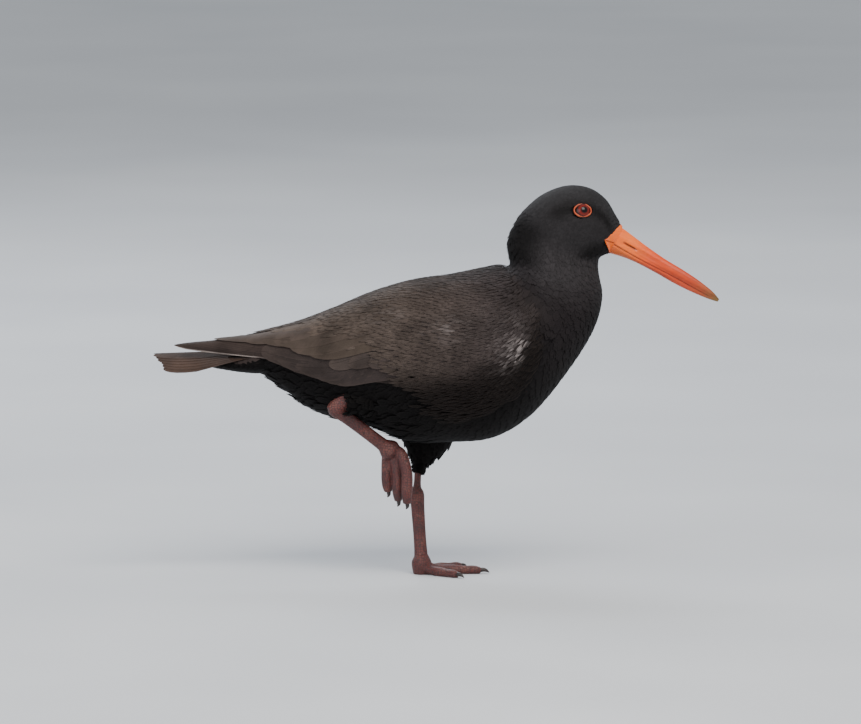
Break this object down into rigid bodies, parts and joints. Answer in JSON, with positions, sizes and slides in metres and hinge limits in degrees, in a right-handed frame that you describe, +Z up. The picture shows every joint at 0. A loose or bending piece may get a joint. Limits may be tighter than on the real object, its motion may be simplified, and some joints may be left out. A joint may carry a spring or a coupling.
{
  "type": "sooty oystercatcher, life-size still model",
  "caption": "Life-size still model of a sooty oystercatcher: a dark wading bird that stands on its left foot with the right one lifted, wings folded, long bill slanting down.",
  "frame": {"origin": "on the floor, under the middle of the bird's bounding box", "axes": "+Z up, +X towards the bill, +Y to the bird's left"},
  "size_m": [0.3616, 0.1016, 0.2511],
  "materials": {
    "black_plumage": "sooty black contour feathers",
    "brown_plumage": "worn brown-black wing and tail feathers",
    "bill": "satin orange-red horn",
    "eye": "wet red iris with a black pupil",
    "lids": "bare orange-red skin",
    "leg_skin": "dull pink scaled skin",
    "claw": "dark horn"
  },
  "bodies": {
    "root": {"torso": "black_plumage", "neck": "black_plumage", "head": "black_plumage", "bill_upper": "bill", "bill_lower": "bill", "eye_left": "eye", "eye_right": "eye", "lids_left": "lids", "lids_right": "lids", "wing_left": "brown_plumage", "wing_right": "brown_plumage", "tail": "brown_plumage", "leg_left_thigh": "black_plumage", "leg_left_shank": "leg_skin", "leg_left_tarsus": "leg_skin", "leg_right_shank": "leg_skin", "leg_right_tarsus": "leg_skin", "toe_left_inner": "leg_skin", "toe_left_middle": "leg_skin", "toe_left_outer": "leg_skin", "toe_right_inner": "leg_skin", "toe_right_middle": "leg_skin", "toe_right_outer": "leg_skin", "claw_left_inner": "claw", "claw_left_middle": "claw", "claw_left_outer": "claw", "claw_right_inner": "claw", "claw_right_middle": "claw", "claw_right_outer": "claw"}
  },
  "joints": []
}
